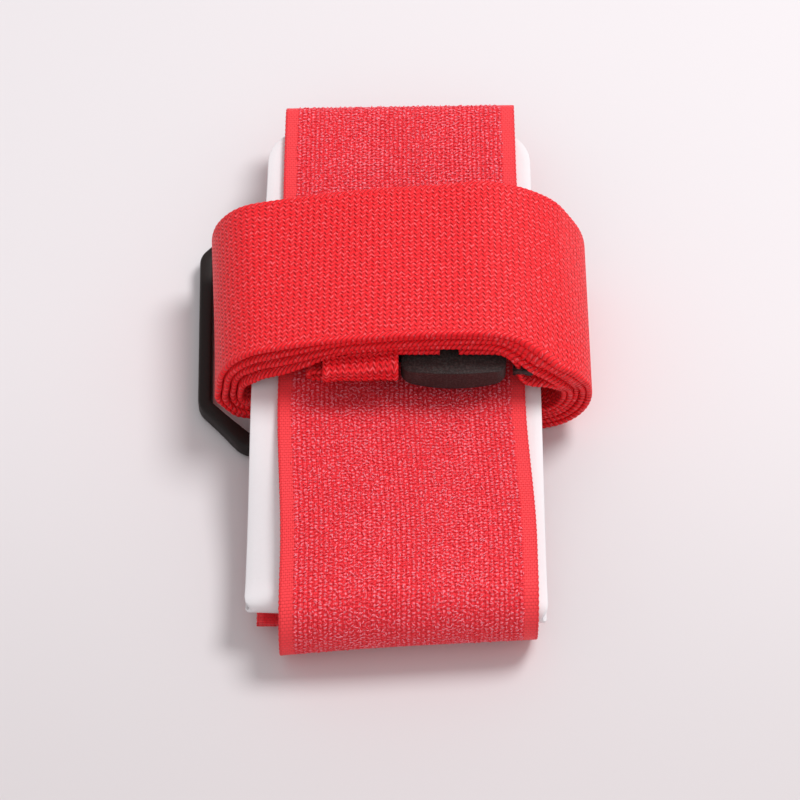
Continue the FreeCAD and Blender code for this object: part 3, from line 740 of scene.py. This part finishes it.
# ------------------------------------------------------------------ card
def card_path():
    """The card from the far end of its upper leaf, round the near fold and back."""
    top, low, climb, bend, dip_y, dip_bend, dip = 14.85, 13.65, 13.0, 19.0, 33.0, 21.0, 8.0
    a = math.radians(climb)
    rise = (low - (top - CARD_FOLD_R * (1 + math.cos(a))) - bend * (1 - math.cos(a))) / math.sin(a)
    steps = [("line", CARD_FAR_Y - CARD_NEAR_Y), ("arc", CARD_FOLD_R, 180 + climb), ("line", rise),
             ("arc", bend, -climb)]
    y = Path((CARD_FAR_Y, top), 180, steps).end[0]
    steps += [("line", dip_y - y), ("arc", dip_bend, -dip),
              ("line", CARD_FAR_Y - dip_y - dip_bend * math.sin(math.radians(dip)))]
    return Path((CARD_FAR_Y, top), 180, steps)


def card_warp(P, S):
    """Rounded far corners, a narrower far end and a near half whose corners droop and skew."""
    x, y, z = P[..., 0], P[..., 1], P[..., 2]
    side = (x - CARD_MID_X) / (CARD_WIDTH / 2)
    Q = P.copy()
    far = np.clip((y - (CARD_FAR_Y - CARD_CORNER)) / CARD_CORNER, 0, 1)
    near = np.clip((-57.4 - y) / 2.0, 0, 1)
    near_corner, left_droop, right_droop = 1.6, 5.2, 3.6
    cut = CARD_CORNER * (1 - np.sqrt(1 - far ** 2)) + near_corner * (1 - np.sqrt(1 - near ** 2))
    back = smooth(0.0, 48.0, y)
    Q[..., 0] = CARD_MID_X + 0.6 * back + side * (CARD_WIDTH / 2 - 1.0 * back - cut)
    leaf = CARD_FAR_Y - CARD_NEAR_Y
    top = 1 - smooth(leaf - 2.0, leaf + 9.0, S)
    open_part = smooth(-13.0, -46.0, y)
    droop = np.where(side < 0, left_droop, right_droop) * np.abs(side) ** 2.6
    Q[..., 2] = z - top * open_part * droop + 0.25 * open_part * np.sin(y / 9.0) * side ** 4
    Q[..., 1] = y - (1.2 * side + 0.6) * open_part
    return Q


card_line = card_path()
s_card = np.linspace(0.0, card_line.length, 170)
card = ribbon("insert_card_stock", card_line, s_card, CARD_WIDTH, CARD_THICK, CARD_MID_X, 40,
              card_warp, edge=3, plane="YZ")
give(card, card_material())

# ------------------------------------------------------------------ ring
ring_black = plastic_material("ring_plastic", (0.013, 0.008, 0.007, 1), (0.030, 0.022, 0.020, 1),
                              roughness=0.5, grain_mm=0.01, speckle=0.15, specular=0.24)
black = plastic_material("buckle_plastic", (0.003, 0.001, 0.001, 1), (0.070, 0.060, 0.057, 1),
                         roughness=0.45, grain_mm=0.03, speckle=0.70, specular=0.22)


def rounded_line(corners, radius):
    """Points along straight runs whose inner corners are rounded."""
    step, arc_points = 0.6, 9
    corners = [np.array(c, float) for c in corners]
    out = [corners[0]]
    for p, q, r in zip(corners, corners[1:], corners[2:]):
        a, b = (p - q) / np.linalg.norm(p - q), (r - q) / np.linalg.norm(r - q)
        half = math.acos(float(np.clip(a @ b, -1, 1))) / 2
        reach = radius / math.tan(half)
        start, end = q + a * reach, q + b * reach
        centre = q + (a + b) / np.linalg.norm(a + b) * radius / math.sin(half)
        for t in np.linspace(0, 1, arc_points):
            m = start * (1 - t) + end * t - centre
            out.append(centre + m / np.linalg.norm(m) * radius)
    out.append(corners[-1])
    dense = []
    for p, q in zip(out, out[1:]):
        n = max(1, int(np.linalg.norm(q - p) / step))
        dense += [p + (q - p) * k / n for k in range(n)]
    return np.array(dense + [out[-1]])


def swept_bar(line, widths, thick, z):
    """A bar of rounded-rectangle section along a level line, with rounded ends."""
    ring, power = 28, 0.42
    tangent = np.gradient(line, axis=0)
    tangent /= np.linalg.norm(tangent, axis=1)[:, None]
    normal = np.stack([-tangent[:, 1], tangent[:, 0]], -1)
    angle = np.arange(ring) * 2 * math.pi / ring
    c, s = np.cos(angle), np.sin(angle)
    c, s = np.sign(c) * np.abs(c) ** power, np.sign(s) * np.abs(s) ** power
    rows = []
    ends = [(-0.85, 0.35), (-0.6, 0.75), (-0.25, 0.95)]  # mm along, share of the section
    count = len(line)
    samples = [(0, e[0], e[1]) for e in ends] + [(i, 0.0, 1.0) for i in range(count)]
    samples += [(count - 1, -e[0], e[1]) for e in reversed(ends)]
    for i, out, shrink in samples:
        centre = line[i] + tangent[i] * out
        w = widths[i] / 2 - (1 - shrink) * 1.0
        h = thick / 2 - (1 - shrink) * 1.0
        xy = centre + normal[i] * (c * w)[:, None]
        rows.append(np.concatenate([xy, (z + s * h)[:, None]], 1))
    return np.concatenate(rows), tube_faces(len(rows), ring)


def ring_piece(name):
    """The ring: a bar round three sides with chamfered corners, and the pin that the belt holds."""
    out_y, end_y, chamfer, corner_r, bar_w, arm_more_w = 28.6, 19.3, 8.6, 3.2, 3.0, 1.2
    bar_out, bar_skew, pin_reach, pin_sides, pin_rows = 1.0, 0.033, 27.5, 24, 12
    x0, arm_x = RING_LEFT + 1.5, -17.9
    line = rounded_line([(arm_x, RING_Y - out_y), (x0 + chamfer, RING_Y - out_y),
                         (x0, RING_Y - end_y), (x0, RING_Y + end_y),
                         (x0 + chamfer, RING_Y + out_y), (arm_x, RING_Y + out_y)], corner_r)
    widths = bar_w + arm_more_w * smooth(x0 + 2.0, x0 + 11.0, line[:, 0])
    points, faces = swept_bar(line, widths, RING_THICK, RING_Z)
    # the free bar lies a little further out than the pin, and is not quite parallel to it
    free = smooth(-22.0, -38.0, points[:, 0])
    points[:, 0] -= free * (bar_out + bar_skew * (points[:, 1] - RING_Y))
    angle = np.arange(pin_sides) * 2 * math.pi / pin_sides
    ys = np.linspace(RING_Y - pin_reach, RING_Y + pin_reach, pin_rows)
    pin = np.array([[OUTER_RUN_X + RING_BAR_R * math.cos(a), y, RING_Z + RING_BAR_R * math.sin(a)]
                    for y in ys for a in angle])
    pin_faces = tube_faces(pin_rows, pin_sides)[:, ::-1]
    return mesh_object(name, np.concatenate([points, pin]),
                       np.concatenate([faces, pin_faces + len(points)]))


ring = ring_piece("ring_moulding")
give(ring, ring_black)

# ------------------------------------------------------------------ CAD nodes that stay
thread = thread_material()
for node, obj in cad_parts.items():
    if obj.hide_render:
        continue
    if "stitching" in node:
        give(obj, thread)
    elif node in ("buckle_housing", "buckle_plug", "prong_front", "prong_back"):
        give(obj, black)
        bevel = obj.modifiers.new("soft_edges", "BEVEL")
        bevel.width, bevel.segments, bevel.limit_method = 0.4 * MM, 3, "ANGLE"
        bevel.angle_limit = math.radians(32)
        bevel.harden_normals = True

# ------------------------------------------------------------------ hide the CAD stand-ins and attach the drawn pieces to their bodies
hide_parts("webbing_belt")
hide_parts("webbing_belt")
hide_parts("plug_strap")
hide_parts("plug_strap")
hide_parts("hook_tape")
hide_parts("hook_tape")
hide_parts("loop_tape")
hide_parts("insert_card")
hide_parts("ring_loop")
for piece, body, slot in ((webbing_outer, "root", "belt_webbing"),
                          (webbing_inner, "root", "belt_webbing"),
                          (strap_piece, "root", "belt_webbing"),
                          (strap_flap, "root", "belt_webbing"),
                          (hook_ground, "root", "hook_tape"),
                          (hooks, "root", "hook_tape"), (loop_ground, "root", "loop_tape"),
                          (card, "root", "white_card"), (ring, "ring", "black_plastic")):
    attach(piece, body)

# ------------------------------------------------------------------ stage, light and camera
FLOOR_HALF = 2500.0
floor = mesh_object("floor", [(-FLOOR_HALF, -FLOOR_HALF, 0), (FLOOR_HALF, -FLOOR_HALF, 0),
                              (FLOOR_HALF, FLOOR_HALF, 0), (-FLOOR_HALF, FLOOR_HALF, 0)],
                    [[0, 1, 2, 3]])
give(floor, floor_material())


def area_light(name, at, toward, size, watts, color):
    """A round lamp at a point in metres, facing another."""
    data = bpy.data.lights.new(name, "AREA")
    data.shape, data.size, data.energy, data.color = "DISK", size, watts, color
    obj = bpy.data.objects.new(name, data)
    bpy.context.scene.collection.objects.link(obj)
    obj.location = at
    direction = Vector([t - a for t, a in zip(toward, at)])
    obj.rotation_euler = direction.to_track_quat("-Z", "Y").to_euler()


area_light("key", (0.46, 0.33, 0.92), (0, 0.02, 0), 0.42, 7.3, (1.0, 0.985, 0.99))
area_light("front_fill", (-0.1, -0.9, 0.9), (0, 0, 0), 0.9, 1.2, (1.0, 0.97, 0.98))
world = bpy.data.worlds.new("studio")
bpy.context.scene.world = world
world.use_nodes = True
background = world.node_tree.nodes["Background"]
background.inputs["Color"].default_value = (1.0, 0.975, 0.99, 1)
background.inputs["Strength"].default_value = 0.58
bpy.context.scene.view_settings.view_transform = "Standard"

camera_data = bpy.data.cameras.new("camera")
camera_data.lens, camera_data.sensor_width = 114.75, 36.0
camera_data.clip_start, camera_data.clip_end = 0.01, 20.0
camera = bpy.data.objects.new("camera", camera_data)
bpy.context.scene.collection.objects.link(camera)
AIM, BACK, UP, TILT = (0.0012, -0.0125, 0.015), 0.2983, 0.4260, 35
camera.location = (AIM[0], AIM[1] - BACK, AIM[2] + UP)
camera.rotation_euler = (math.radians(TILT), 0, 0)
bpy.context.scene.camera = camera
